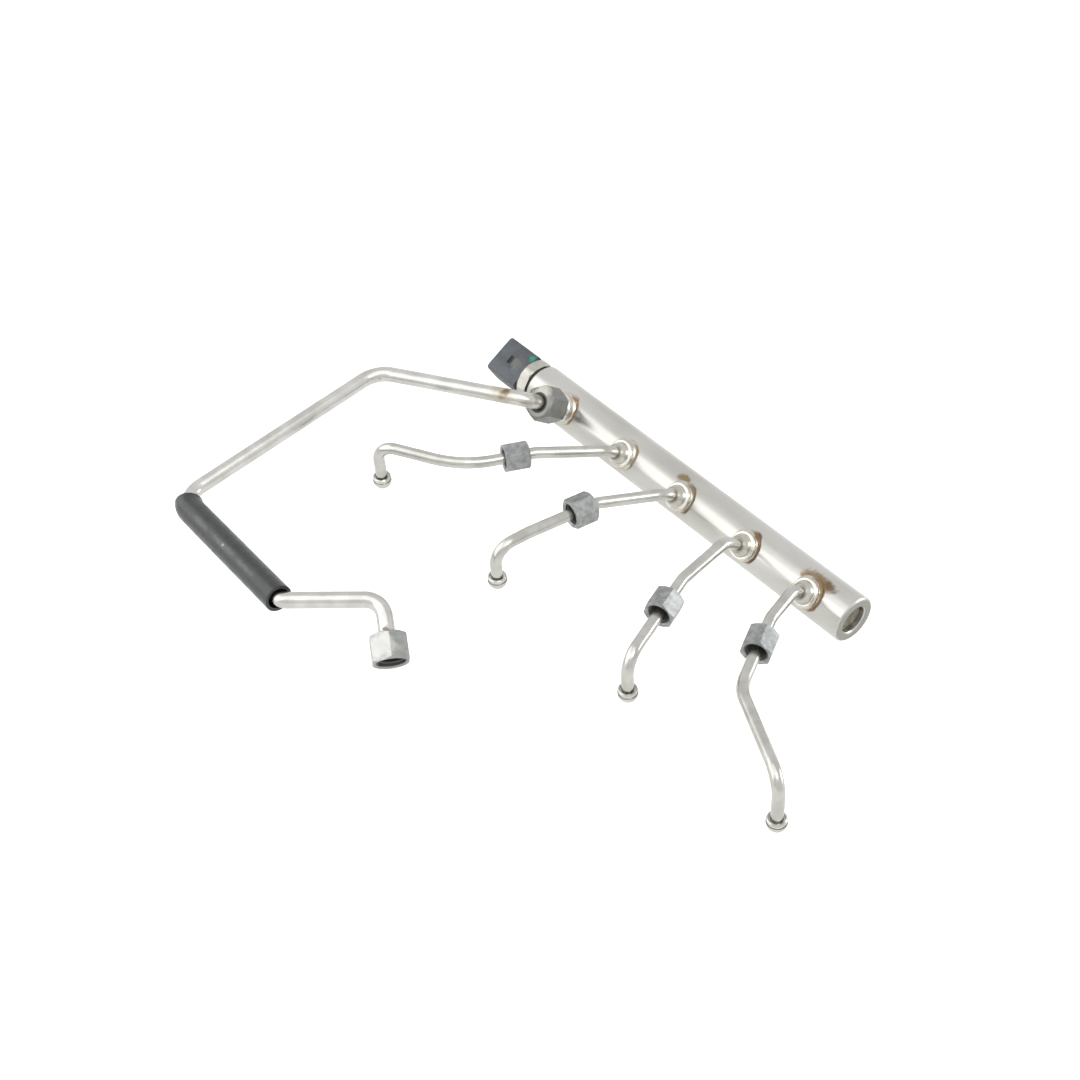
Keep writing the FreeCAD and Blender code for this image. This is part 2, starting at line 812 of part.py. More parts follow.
def feed_ball_depth():
    """Return how deep a ball's centre sits in its feed nut, the collar just off the nut's cone."""
    cone_room = (mm("feed_nut_cavity_d") - mm("feed_collar_d")) / 2 * NUT_CONE_RISE
    return mm("feed_nut_cavity_depth") + cone_room - mm("feed_nut_gap") - mm("feed_collar_top")


def build_feed_pipe():
    """Bend the feed pipe, add a ball at each end and bore it through."""
    corners = feed_corners()
    bends = [
        mm("feed_bend_radius"),
        mm("feed_top_bend_radius"),
        mm("feed_sleeve_bend_radius"),
        mm("feed_low_bend_radius"),
        mm("feed_bend_radius"),
    ]
    bar = bent_bar(corners, bends, feed_radius.value)
    groove = mm("ball_groove")
    first = ball_end(corners[0], unit(corners[0] - corners[1]), "feed_", groove, groove)
    last = ball_end(corners[-1], unit(corners[-1] - corners[-2]), "feed_", groove, groove)
    reach = mm("feed_ball_d")
    bore = bent_bar(lengthened(corners, reach, reach), bends, mm("feed_bore") / 2)
    return add_solid("feed_pipe", bar.fuse([first, last]).cut(bore))


def build_feed_nut_rail():
    """Make the tight nut that holds the feed pipe on the inlet boss."""
    corners = feed_corners()
    down = unit(corners[0] - corners[1])
    behind = mm("feed_nut_length") - feed_ball_depth()
    rear = corners[0] - down * behind
    bore = feed_radius + size("nut_clearance")
    return build_union_nut("feed_nut_rail", "feed_", bore, rear, down, mm("feed_nut_rail_roll"))


def build_feed_nut_pump():
    """Make the free nut at the pump side of the feed pipe."""
    corners = feed_corners()
    out = unit(corners[-1] - corners[-2])
    rear = corners[-1] - out * (mm("feed_nut_length") - feed_ball_depth())
    bore = feed_radius + size("nut_clearance")
    return build_union_nut("feed_nut_pump", "feed_", bore, rear, out, mm("feed_nut_pump_roll"))


def build_feed_sleeve():
    """Make the rubber sleeve that follows the pipe out of its far bend, with a wide lower mouth."""
    corners = feed_corners()
    far, low = corners[3], corners[4]
    incoming = unit(far - corners[2])
    outgoing = unit(low - far)
    turn = incoming.getAngle(outgoing)
    bend = mm("feed_sleeve_bend_radius")
    bend_end = far + outgoing * (bend * math.tan(turn / 2))
    share = math.radians(mm("sleeve_bend_share"))
    axis = unit(incoming.cross(outgoing))
    backwards = FreeCAD.Rotation(axis, -math.degrees(share)).multVec(outgoing)
    corner = bend_end - outgoing * (bend * math.tan(share / 2))
    start = corner - backwards * (bend * math.tan(share / 2) + mm("solder_gap"))
    end = low - outgoing * mm("sleeve_end_gap")
    bore_radius_wanted = feed_radius.value + mm("sleeve_clearance")
    outer = bent_bar([start, corner, end], [bend], bore_radius_wanted + mm("sleeve_wall"))
    inner = bent_bar(lengthened([start, corner, end], OVERRUN, OVERRUN), [bend], bore_radius_wanted)
    mouth_start = end - outgoing * mm("sleeve_mouth_depth")
    mouth = Part.makeCylinder(
        mm("sleeve_mouth_d") / 2, mm("sleeve_mouth_depth") + OVERRUN, mouth_start, outgoing)
    return add_solid("feed_sleeve", outer.cut(inner).cut(mouth))


# Pressure sensor

def build_sensor_body():
    """Turn the sensor's steel body, then mill its hexagon flats."""
    body = new_body("sensor_body")
    sketch = new_sketch(body, "XZ_Plane")
    face = -size("rail_length")
    flange_start = face - size("sensor_gap")
    flange_end = flange_start - size("sensor_flange")
    spigot_end = flange_end - size("sensor_spigot")
    stem_end = face + size("sensor_stem")
    stem = size("sensor_stem_d") / 2
    seat = size("sensor_seat_d") / 2
    flange = size("sensor_flange_d") / 2
    spigot = size("sensor_spigot_d") / 2
    hole = size("sensor_bore") / 2
    rim = size("sensor_rim")
    add_loop(sketch, (
        (stem_end, hole),
        (stem_end, stem - rim),
        (stem_end - rim, stem),
        (face, stem),
        (face, seat),
        (flange_start, seat),
        (flange_start, flange - rim),
        (flange_start - rim, flange),
        (flange_end + rim, flange),
        (flange_end, flange - rim),
        (flange_end, spigot),
        (spigot_end, spigot),
        (spigot_end, 0.0),
        (face, 0.0),
        (face, hole),
    ))
    turn_profile(body, sketch, "H_Axis")
    flats = new_sketch(body, "YZ_Plane", lift=flange_end)
    add_circle(flats, flange * 2)
    add_hexagon(flats, size("sensor_af") / 2)
    cut_profile(body, flats, size("sensor_flange"), along_normal=True)
    return body


def sensor_placement():
    """Return the place where the housing's local Z runs out along the rail's far end."""
    turn = math.radians(mm("housing_turn"))
    front = Vector(0, -math.cos(turn), math.sin(turn))
    outward = Vector(-1, 0, 0)
    start = -(mm("rail_length") + mm("sensor_gap") + mm("sensor_flange"))
    rotation = FreeCAD.Rotation(front.cross(outward), front, outward, "ZYX")
    return FreeCAD.Placement(Vector(start, 0, 0), rotation)


def round_long_edges(body, feature, half_width):
    """Round the housing's four edges that run along its local Z at the given half width."""
    names = []
    for index, edge in enumerate(feature.Shape.Edges, start=1):
        first, last = edge.Vertexes[0].Point, edge.Vertexes[-1].Point
        upright = abs(first.z - last.z) > 1.0 and abs(first.x - last.x) < 1e-4
        if upright and abs(abs(first.x) - half_width) < 1e-4:
            names.append("Edge%d" % index)
    return round_edges(body, feature, names, size("housing_corner"))


def build_sensor_connector():
    """Mould the black housing with its round base, open socket, latch block and latch recess."""
    body = new_body("sensor_connector")
    half_width = size("housing_width") / 2
    front = size("housing_front")
    back = -size("housing_back")
    base_height = size("housing_base")
    length = size("housing_length")
    wall = size("housing_wall")
    floor = size("socket_floor")
    housing = new_sketch(body, "XY_Plane", lift=base_height)
    add_rectangle(housing, -half_width, half_width, back, front)
    shell = raise_profile(body, housing, length - base_height)
    round_long_edges(body, shell, half_width.value)
    base = new_sketch(body, "XY_Plane")
    add_circle(base, size("housing_base_d") / 2)
    raise_profile(body, base, floor)
    spigot = new_sketch(body, "XY_Plane")
    add_circle(spigot, size("sensor_spigot_d") / 2 + size("solder_gap"))
    cut_profile(body, spigot, size("sensor_spigot") + size("solder_gap"), along_normal=True)
    socket = new_sketch(body, "XY_Plane", lift=length)
    add_rectangle(socket, wall - half_width, half_width - wall, back + wall, front - wall)
    cut_profile(body, socket, length - floor)
    latch = new_sketch(body, "XZ_Plane", lift=-front)
    latch_half = size("latch_width") / 2
    latch_start = size("latch_start")
    add_rectangle(latch, -latch_half, latch_half, latch_start, latch_start + size("latch_length"))
    block = raise_profile(body, latch, size("latch_rise"))
    block.Reversed = True
    doc.recompute()
    window = new_sketch(body, "XZ_Plane", lift=-front)
    window_half = size("window_width") / 2
    window_start = size("window_start")
    add_rectangle(
        window, -window_half, window_half, window_start, window_start + size("window_length"))
    cut_profile(body, window, size("window_depth"), along_normal=True)
    body.Placement = sensor_placement()
    return body


def build_terminal(number):
    """Make one flat terminal that stands on the socket's floor."""
    blade = doc.addObject("Part::Box", "sensor_terminal_%d" % number)
    blade.Label = "sensor_terminal_%d" % number
    width = mm("terminal_width")
    thick = mm("terminal_thick")
    bind(blade, "Length", size("terminal_width"))
    bind(blade, "Width", size("terminal_thick"))
    bind(blade, "Height", size("terminal_length"))
    middle = (mm("housing_front") - mm("housing_back")) / 2
    across = (number - 2) * mm("terminal_pitch")
    local = Vector(across - width / 2, middle - thick / 2, mm("socket_floor"))
    blade.Placement = sensor_placement().multiply(FreeCAD.Placement(local, FreeCAD.Rotation()))
    doc.recompute()
    return blade


pieces = [build_rail_tube(), build_end_plug(), build_sensor_port(), build_inlet_boss()]
outlet_base_radius = size("outlet_base_d") / 2
for number in FREE_BENDS:
    pieces.append(build_outlet_boss(number))
    label = "outlet_braze_%d" % number
    pieces.append(build_braze_ring(label, outlet_back(number), outlet_base_radius))
    pieces.append(build_injector_line(number))
    pieces.append(build_injector_nut(number))
pieces.append(build_braze_ring("inlet_braze", inlet_back, size("inlet_collar_d") / 2))
pieces += [build_feed_pipe(), build_feed_nut_rail(), build_feed_nut_pump(), build_feed_sleeve()]
pieces += [build_sensor_body(), build_sensor_connector()]
pieces += [build_terminal(number) for number in (1, 2, 3)]
doc.recompute()

for item in doc.Objects:
    if "Invalid" in item.State or "Error" in item.State:
        raise RuntimeError("%s is in state %s" % (item.Label, item.State))
for piece in pieces:
    if piece.Shape.isNull() or not piece.Shape.isValid() or len(piece.Shape.Solids) != 1:
        raise RuntimeError("%s has a bad shape" % piece.Label)

os.makedirs("parts", exist_ok=True)
for piece in pieces:
    piece.Shape.exportStep("parts/%s.step" % piece.Label)
    print(piece.Label, round(piece.Shape.Volume, 1))
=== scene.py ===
"""Looks of a used high-pressure fuel rail: plated tubes, zinc nuts, rubber sleeve and sensor.

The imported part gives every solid. This script gives each one its surface, cuts the threads that
show in the open nuts, and sets up a plain studio round it. Names with the ending _mm are
millimetres in the part's own frame; Blender's units are metres.
"""

import json
import logging
import math
from dataclasses import dataclass
from enum import Enum

import bmesh
import bpy
from mathutils import Matrix, Vector


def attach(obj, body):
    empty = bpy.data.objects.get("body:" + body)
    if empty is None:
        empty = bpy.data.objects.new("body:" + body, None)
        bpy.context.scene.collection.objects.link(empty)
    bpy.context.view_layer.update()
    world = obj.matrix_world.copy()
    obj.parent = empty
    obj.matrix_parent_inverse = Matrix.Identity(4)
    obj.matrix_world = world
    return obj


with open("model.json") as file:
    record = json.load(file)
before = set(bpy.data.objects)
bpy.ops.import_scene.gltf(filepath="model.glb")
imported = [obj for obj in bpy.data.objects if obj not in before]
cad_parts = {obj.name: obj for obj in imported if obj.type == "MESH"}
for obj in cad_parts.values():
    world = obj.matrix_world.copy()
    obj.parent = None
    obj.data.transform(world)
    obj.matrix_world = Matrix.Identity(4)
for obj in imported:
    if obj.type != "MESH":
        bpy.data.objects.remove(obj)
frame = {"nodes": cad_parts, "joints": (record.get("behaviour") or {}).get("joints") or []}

LOG = logging.getLogger("fuel_rail")
MM = 0.001

# Where the bosses stand: how far they lean up from level, and their places along the rail.
BOSS_ANGLE = 37.0
BOSS_AXIS = (0.0, -math.cos(math.radians(BOSS_ANGLE)), math.sin(math.radians(BOSS_ANGLE)))
OUTLETS_MM = (-153.6, -110.7, -64.4, -22.6)
INLET_MM = -202.0

# The curve between an sRGB share and its linear one.
SRGB_KNEE = 0.04045
SRGB_SLOPE = 12.92
SRGB_LIFT = 0.055
SRGB_POWER = 2.4

# Noise levels between which a pattern goes from 0 to 1: the closer they are, the harder its edges.
SOFT = (0.2, 0.8)
RAGGED = (0.25, 0.75)
CLOUDY = (0.3, 0.7)
PATCHY = (0.35, 0.65)
NOISE_DETAIL = 3.0

# The colour sockets of Blender's Mix node, which share their names with its other types.
MIX_UNDER = 6
MIX_TOP = 7
MIX_COLOUR = 2

WHITE = "#FFFFFF"
# Painted shade for the dark insides of nut cavities and of the hole behind the fitted nut.
CAVITY_SHADE = "#3E3E3D"

Triple = tuple[float, float, float]
Socket = bpy.types.NodeSocket


def linear(hex_colour: str) -> tuple[float, float, float, float]:
    """Turn an sRGB hex colour into Blender's linear colour.

    Args:
        hex_colour: Six hex digits after a hash sign.

    Returns:
        Red, green, blue and an alpha of one.
    """
    shares = [int(hex_colour[at:at + 2], 16) / 255.0 for at in (1, 3, 5)]
    red, green, blue = (
        share / SRGB_SLOPE if share <= SRGB_KNEE
        else ((share + SRGB_LIFT) / (1.0 + SRGB_LIFT)) ** SRGB_POWER
        for share in shares
    )
    return red, green, blue, 1.0


def per_metre(pattern_mm: float) -> float:
    """Turn the size of a pattern into a texture scale.

    Args:
        pattern_mm: Rough size of one patch of the pattern in millimetres.

    Returns:
        Repeats in a metre.
    """
    return 1.0 / (pattern_mm * MM)


class Shading:
    """A node tree that is filled from its far end back to its output."""

    def __init__(self, owner: bpy.types.Material | bpy.types.World) -> None:
        """Empty the owner's node tree.

        Args:
            owner: The material or world that the tree belongs to.
        """
        owner.use_nodes = True
        self.owner = owner
        self.tree = owner.node_tree
        self.tree.nodes.clear()

    def add(self, kind: str, settings: dict, links: dict, out: int | str = 0) -> Socket | None:
        """Add a node with its settings and its incoming links.

        Args:
            kind: Blender's identifier of the node.
            settings: Values by socket name, socket number or property name.
            links: Output sockets by the name or number of the input that they feed.
            out: Name or number of the output to return.

        Returns:
            The chosen output, or None for a node without outputs.
        """
        node = self.tree.nodes.new(kind)
        for key, value in settings.items():
            if isinstance(key, str) and key not in node.inputs:
                setattr(node, key, value)
        for key, value in settings.items():
            if isinstance(key, int) or key in node.inputs:
                node.inputs[key].default_value = value
        for key, socket in links.items():
            self.tree.links.new(socket, node.inputs[key])
        return node.outputs[out] if node.outputs else None

    def pattern(self, size_mm: float, low: float, high: float,
                stretch: Triple = (1.0, 1.0, 1.0)) -> Socket:
        """Make an irregular mask on the object's own coordinates.

        Args:
            size_mm: Rough size of a patch.
            low: Noise level that becomes 0.
            high: Noise level that becomes 1.
            stretch: How finely the pattern repeats along each axis, against size_mm.

        Returns:
            The mask, from 0 to 1.
        """
        place = self.add("ShaderNodeTexCoord", {}, {}, "Object")
        scaled = self.add("ShaderNodeMapping", {"Scale": stretch}, {"Vector": place})
        noise = self.add(
            "ShaderNodeTexNoise", {"Scale": per_metre(size_mm), "Detail": NOISE_DETAIL},
            {"Vector": scaled})
        return self.add(
            "ShaderNodeMapRange",
            {"interpolation_type": "SMOOTHSTEP", "From Min": low, "From Max": high},
            {"Value": noise})


@dataclass(frozen=True)
class Spot:
    """A ragged mark on the surface: scorched flux, stains and a paint dab, and also painted shade,
    shadow, sheen and highlights.
    """

    # Shares of the radius: how far the edge wanders, and where the mark begins to fade and ends.
    WANDER = 0.5
    SOLID = 0.7
    GONE = 1.4

    centre_mm: Triple
    radius_mm: float
    colour: str
    strength: float = 0.8
    ragged_mm: float = 2.0
    stretch: Triple = (1.0, 1.0, 1.0)

    def mask(self, shading: Shading) -> Socket:
        """Make the mark's mask.

        Args:
            shading: The tree that the mark is part of.

        Returns:
            How far the mark covers, from 0 to its strength.
        """
        radius = self.radius_mm * MM
        place = shading.add("ShaderNodeTexCoord", {}, {}, "Object")
        centre = tuple(value * MM for value in self.centre_mm)
        offset = shading.add(
            "ShaderNodeVectorMath", {"operation": "SUBTRACT", 1: centre}, {0: place})
        shape = shading.add(
            "ShaderNodeVectorMath", {"operation": "MULTIPLY", 1: self.stretch}, {0: offset})
        away = shading.add("ShaderNodeVectorMath", {"operation": "LENGTH"}, {0: shape}, "Value")
        ragged = shading.add(
            "ShaderNodeMath", {"operation": "MULTIPLY_ADD", 1: self.WANDER * radius},
            {0: shading.pattern(self.ragged_mm, *RAGGED), 2: away})
        return shading.add(
            "ShaderNodeMapRange",
            {"interpolation_type": "SMOOTHSTEP", "From Min": self.SOLID * radius,
             "From Max": self.GONE * radius, "To Min": self.strength, "To Max": 0.0},
            {"Value": ragged})


@dataclass(frozen=True)
class Bore:
    """A ring round an axis, used for painted shade in nut cavities and on the caps' domes, and for
    a painted pale ring on a turned face.
    """

    # Half the width of the ring's rim, and the share of its reach where it begins to fade.
    RIM_MM = 0.2
    FULL = 0.9

    centre_m: Triple
    axis: Triple
    radius_mm: float
    colour: str
    strength: float
    reach_mm: float = 12.0

    def mask(self, shading: Shading) -> Socket:
        """Make the ring's mask.

        Args:
            shading: The tree that the ring is part of.

        Returns:
            How far the ring covers, from 0 to its strength.
        """
        place = shading.add("ShaderNodeTexCoord", {}, {}, "Object")
        offset = shading.add(
            "ShaderNodeVectorMath", {"operation": "SUBTRACT", 1: self.centre_m}, {0: place})
        crossed = shading.add(
            "ShaderNodeVectorMath", {"operation": "CROSS_PRODUCT", 1: self.axis}, {0: offset})
        beside = shading.add(
            "ShaderNodeVectorMath", {"operation": "LENGTH"}, {0: crossed}, "Value")
        away = shading.add("ShaderNodeVectorMath", {"operation": "LENGTH"}, {0: offset}, "Value")
        inside = shading.add(
            "ShaderNodeMapRange",
            {"From Min": (self.radius_mm - self.RIM_MM) * MM,
             "From Max": (self.radius_mm + self.RIM_MM) * MM, "To Min": self.strength,
             "To Max": 0.0},
            {"Value": beside})
        near = shading.add(
            "ShaderNodeMapRange",
            {"From Min": self.FULL * self.reach_mm * MM, "From Max": self.reach_mm * MM,
             "To Min": 1.0, "To Max": 0.0},
            {"Value": away})
        return shading.add("ShaderNodeMath", {"operation": "MULTIPLY"}, {0: inside, 1: near})


@dataclass(frozen=True)
class Scorch:
    """A burnt line round part of a boss's foot, left by the brazing flame.

    It shows on the side of the rail that the boss stands on, and not below.
    """

    # How far the line wanders, over what length, and how far it lies outside its radius.
    WANDER_MM = 0.7
    WAVE_MM = 4.0
    OUTSIDE_MM = 0.3
    # Shares of the width where the line begins to fade and ends, and the fade at its two tips.
    SOLID = 0.35
    GONE = 1.1
    TIP_FADE = 0.4
    # Heights over the rail's axis, along the boss, between which the line appears.
    LOW_MM = 3.0
    HIGH_MM = 5.0

    along_mm: float
    colour: str
    width_mm: float
    strength: float
    start: float
    radius_mm: float = 8.3
    side: Triple = (0.95, 0.3, 0.0)

    def mask(self, shading: Shading) -> Socket:
        """Make the mark's mask.

        Args:
            shading: The tree that the mark is part of.

        Returns:
            How far the mark covers, from 0 to its strength.
        """
        place = shading.add("ShaderNodeTexCoord", {}, {}, "Object")
        local = shading.add(
            "ShaderNodeMapping",
            {"vector_type": "TEXTURE", "Location": (self.along_mm * MM, 0.0, 0.0),
             "Rotation": (math.radians(90.0 - BOSS_ANGLE), 0.0, 0.0)},
            {"Vector": place})
        flat = shading.add(
            "ShaderNodeVectorMath", {"operation": "MULTIPLY", 1: (1.0, 1.0, 0.0)}, {0: local})
        radius = shading.add("ShaderNodeVectorMath", {"operation": "LENGTH"}, {0: flat}, "Value")
        wavy = shading.add(
            "ShaderNodeMath", {"operation": "MULTIPLY_ADD", 1: self.WANDER_MM * MM},
            {0: shading.pattern(self.WAVE_MM, *CLOUDY), 2: radius})
        middle = (self.radius_mm + self.OUTSIDE_MM) * MM
        off = shading.add("ShaderNodeMath", {"operation": "SUBTRACT", 1: middle}, {0: wavy})
        distance = shading.add("ShaderNodeMath", {"operation": "ABSOLUTE"}, {0: off})
        near = shading.add(
            "ShaderNodeMapRange",
            {"interpolation_type": "SMOOTHSTEP", "From Min": self.SOLID * self.width_mm * MM,
             "From Max": self.GONE * self.width_mm * MM, "To Min": self.strength, "To Max": 0.0},
            {"Value": distance})
        facing = shading.add("ShaderNodeVectorMath", {"operation": "NORMALIZE"}, {0: flat})
        towards = shading.add(
            "ShaderNodeVectorMath", {"operation": "DOT_PRODUCT", 1: self.side}, {0: facing},
            "Value")
        sided = shading.add(
            "ShaderNodeMapRange",
            {"interpolation_type": "SMOOTHSTEP", "From Min": self.start,
             "From Max": self.start + self.TIP_FADE},
            {"Value": towards})
        upright = shading.add("ShaderNodeSeparateXYZ", {}, {0: local}, "Z")
        topside = shading.add(
            "ShaderNodeMapRange", {"From Min": self.LOW_MM * MM, "From Max": self.HIGH_MM * MM},
            {"Value": upright})
        lit = shading.add("ShaderNodeMath", {"operation": "MULTIPLY"}, {0: near, 1: topside})
        return shading.add("ShaderNodeMath", {"operation": "MULTIPLY"}, {0: lit, 1: sided})


@dataclass(frozen=True)
class Metal:
    """A bare or plated steel surface.

    The cloud is the plating's unevenness, the grain its drawing or turning marks, and the
    scratches come from handling. Marks lie on top and dull the metal.
    """

    # What a full mark adds to the metal's roughness and to its share of metal.
    MARK_ROUGHNESS = 0.25
    MARK_METALLIC = -0.45
    # Two crossing sets of scratches: size, noise levels, and how fine they are along each axis.
    SCRATCHES = ((2.2, 0.62, 0.72, (1.0, 8.0, 5.0)), (2.6, 0.64, 0.74, (7.0, 1.0, 6.0)))

    name: str
    colour: str
    cloud: str
    roughness: float
    spread: float = 0.04
    cloud_mm: float = 12.0
    cloud_stretch: Triple = (1.0, 1.0, 1.0)
    grain_mm: float = 0.8
    grain_stretch: Triple = (1.0, 1.0, 1.0)
    relief_mm: float = 0.004
    scratch_colour: str = "#E9E8E4"
    scratches: float = 0.0
    marks: tuple = ()

    def make(self) -> bpy.types.Material:
        """Build the material.

        Returns:
            The finished material.
        """
        shading = Shading(bpy.data.materials.new(self.name))
        colour = shading.add(
            "ShaderNodeMix",
            {"data_type": "RGBA", MIX_UNDER: linear(self.colour), MIX_TOP: linear(self.cloud)},
            {0: shading.pattern(self.cloud_mm, *CLOUDY, self.cloud_stretch)}, MIX_COLOUR)
        if self.scratches > 0.0:
            lines, crossed = (shading.pattern(*scratch) for scratch in self.SCRATCHES)
            both = shading.add("ShaderNodeMath", {"operation": "MAXIMUM"}, {0: lines, 1: crossed})
            mask = shading.add(
                "ShaderNodeMath", {"operation": "MULTIPLY", 1: self.scratches}, {0: both})
            colour = shading.add(
                "ShaderNodeMix", {"data_type": "RGBA", MIX_TOP: linear(self.scratch_colour)},
                {0: mask, MIX_UNDER: colour}, MIX_COLOUR)
        dulled = None
        for mark in self.marks:
            mask = mark.mask(shading)
            colour = shading.add(
                "ShaderNodeMix", {"data_type": "RGBA", MIX_TOP: linear(mark.colour)},
                {0: mask, MIX_UNDER: colour}, MIX_COLOUR)
            dulled = mask if dulled is None else shading.add(
                "ShaderNodeMath", {"operation": "MAXIMUM"}, {0: dulled, 1: mask})
        grain = shading.pattern(self.grain_mm, *SOFT, self.grain_stretch)
        satin = shading.add(
            "ShaderNodeMapRange",
            {"To Min": self.roughness - self.spread, "To Max": self.roughness + self.spread},
            {"Value": grain})
        bump = shading.add(
            "ShaderNodeBump", {"Distance": self.relief_mm * MM}, {"Height": grain})
        links = {"Base Color": colour, "Roughness": satin, "Normal": bump}
        if dulled is not None:
            links["Roughness"] = shading.add(
                "ShaderNodeMath", {"operation": "MULTIPLY_ADD", 1: self.MARK_ROUGHNESS},
                {0: dulled, 2: satin})
            links["Metallic"] = shading.add(
                "ShaderNodeMath",
                {"operation": "MULTIPLY_ADD", 1: self.MARK_METALLIC, 2: 1.0}, {0: dulled})
        surface = shading.add("ShaderNodeBsdfPrincipled", {"Metallic": 1.0}, links)
        shading.add("ShaderNodeOutputMaterial", {}, {"Surface": surface})
        return shading.owner


@dataclass(frozen=True)
class Moulding:
    """A moulded rubber or plastic surface with a fine texture and dull patches."""

    # How much rougher the dull patches are.
    PATCH_ROUGHNESS = 0.14

    name: str
    colour: str
    cloud: str
    roughness: float
    ior: float
    cloud_mm: float
    texture_mm: float = 0.35
    relief_mm: float = 0.02
    lump_mm: float = 6.0
    lump_height_mm: float = 0.1
    marks: tuple = ()

    def make(self) -> bpy.types.Material:
        """Build the material.

        Returns:
            The finished material.
        """
        shading = Shading(bpy.data.materials.new(self.name))
        patches = shading.pattern(self.cloud_mm, *PATCHY)
        colour = shading.add(
            "ShaderNodeMix",
            {"data_type": "RGBA", MIX_UNDER: linear(self.colour), MIX_TOP: linear(self.cloud)},
            {0: patches}, MIX_COLOUR)
        for mark in self.marks:
            colour = shading.add(
                "ShaderNodeMix", {"data_type": "RGBA", MIX_TOP: linear(mark.colour)},
                {0: mark.mask(shading), MIX_UNDER: colour}, MIX_COLOUR)
        roughness = shading.add(
            "ShaderNodeMapRange",
            {"To Min": self.roughness, "To Max": self.roughness + self.PATCH_ROUGHNESS},
            {"Value": patches})
        texture = shading.add(
            "ShaderNodeBump", {"Distance": self.relief_mm * MM},
            {"Height": shading.pattern(self.texture_mm, *SOFT)})
        lumps = shading.add(
            "ShaderNodeBump", {"Distance": self.lump_height_mm * MM},
            {"Height": shading.pattern(self.lump_mm, *SOFT), "Normal": texture})
        surface = shading.add(
            "ShaderNodeBsdfPrincipled", {"IOR": self.ior},
            {"Base Color": colour, "Roughness": roughness, "Normal": lumps})
        shading.add("ShaderNodeOutputMaterial", {}, {"Surface": surface})
        return shading.owner


# The burnt lines, faint at outlet 1 and strongest at outlet 4 and the inlet.
SCORCHES = (
    Scorch(OUTLETS_MM[0], "#8C7452", width_mm=0.45, strength=0.7, start=0.5),
    Scorch(OUTLETS_MM[1], "#7C6848", width_mm=0.55, strength=0.8, start=0.2),
    Scorch(OUTLETS_MM[2], "#75583A", width_mm=0.65, strength=0.9, start=0.1),
    Scorch(OUTLETS_MM[3], "#826538", width_mm=0.8, strength=0.85, start=0.0),
    Scorch(INLET_MM, "#A0723E", width_mm=0.36, strength=0.85, start=0.3, radius_mm=9.0),
)
# Burnt flux over outlet 2 and a run of it over outlet 4; painted shade by the inlet and on the end
# face.
RAIL_SPOTS = (
    Spot((-116.2, -2.2, 12.05), 3.5, "#86714A", 0.85, 3.0, (0.75, 1.2, 1.2)),
    Spot((-28.6, -4.6, 11.4), 2.8, "#8E7A58", 0.85, 3.0, (0.8, 1.1, 1.1)),
    Spot((-22.6, -3.0, 11.9), 5.5, "#8A754F", 0.85, 4.0, (0.66, 1.15, 1.15)),
    Spot((-15.2, -2.9, 11.9), 3.5, "#6F5939", 0.85, 3.0, (0.75, 1.1, 1.1)),
    # A painted shadow beside the fitted nut at the inlet.
    Spot((-193.5, -8.2, 9.0), 3.0, "#85827A", 0.55, 3.0),
    # The end face, dulled and painted darker as painted shade.
    Spot((0.0, 0.0, 0.0), 30.0, "#9B9A93", 0.85, 6.0, (60.0, 1.0, 1.0)),
)
# Heat tint and burnt flux beside the inlet, a copper-brown stain at the pump nut, and painted
# shade where the pipe enters the fitted nut.
FEED_SPOTS = (
    Spot((-215.0, -39.5, 26.0), 8.0, "#B3A987", 0.45, 4.0),
    Spot((-213.5, -38.8, 25.5), 3.6, "#6F5B38", 0.85, 3.0, (1.4, 0.8, 0.8)),
    Spot((-203.0, -33.0, 23.0), 4.5, "#9A9384", 0.5, 3.0),
    Spot((-129.4, -178.4, 9.2), 2.0, "#6E5046", 0.75),
    # Painted shade where the pipe enters the fitted nut.
    Spot((-201.0, -28.5, 23.5), 4.2, "#6B665C", 0.6, 3.0),
)
# The pump nut's flat, rubbed by handling and painted pale as a painted highlight.
RUBBED_AND_HIGHLIGHT = (Spot((-123.1, -185.9, 8.1), 7.5, "#DCDCD8", 0.45, 4.0),)
# Painted shade in the loose nuts, just past the wall of each cavity.
LINE_CAVITY_MM = 5.35
PUMP_CAVITY_MM = 7.1
LOOSE_NUT_SHADE = tuple(
    Bore(tuple(joint["pos_m"]), tuple(joint["axis"]),
         PUMP_CAVITY_MM if joint["name"] == "pump_nut_turn" else LINE_CAVITY_MM, CAVITY_SHADE, 0.75)
    for joint in frame["joints"]
)
# A grey streak along the sleeve where its highlight falls, dust with a painted sheen, and one pale
# speck of dust.
SLEEVE_DUST_AND_SHEEN = (
    Spot((-245.0, -206.5, 10.0), 1.5, "#6E7370", 0.4, 3.0, (0.1, 1.0, 1.0)),
    Spot((-222.0, -207.6, 11.8), 1.6, "#6E7370", 0.45, 3.0, (0.1, 1.0, 1.0)),
    Spot((-202.0, -208.5, 13.4), 1.4, "#6E7370", 0.4, 3.0, (0.1, 1.0, 1.0)),
    Spot((-223.0, -207.5, 11.7), 0.9, "#D5D7D3", 0.7, 1.5),
)
# The fitted nut's rear: a turned ring painted pale as a painted reflection, a painted highlight on
# its upper face, and painted shade in the hole round the pipe.
FITTED_REAR = (INLET_MM * MM, -0.0317, 0.0239)
FITTED_RINGS = (
    Bore(FITTED_REAR, BOSS_AXIS, 7.4, "#B4B3AF", 0.6),
    Spot((-203.1, -21.7, 24.6), 4.8, "#D6D3C8", 0.85, 3.0),
    Bore(FITTED_REAR, BOSS_AXIS, 5.5, CAVITY_SHADE, 0.9),
)
# The outlet caps' domes, painted darker as painted shade inside their bright rims and darkest
# round each line's entry.
CAP_SHADE = tuple(
    Bore((along * MM, 0.0, 0.0), BOSS_AXIS, radius, colour, strength, reach_mm=25.0)
    for along in OUTLETS_MM
    for radius, colour, strength in ((5.6, "#A9A69E", 0.4), (4.1, "#857F72", 0.6))
)


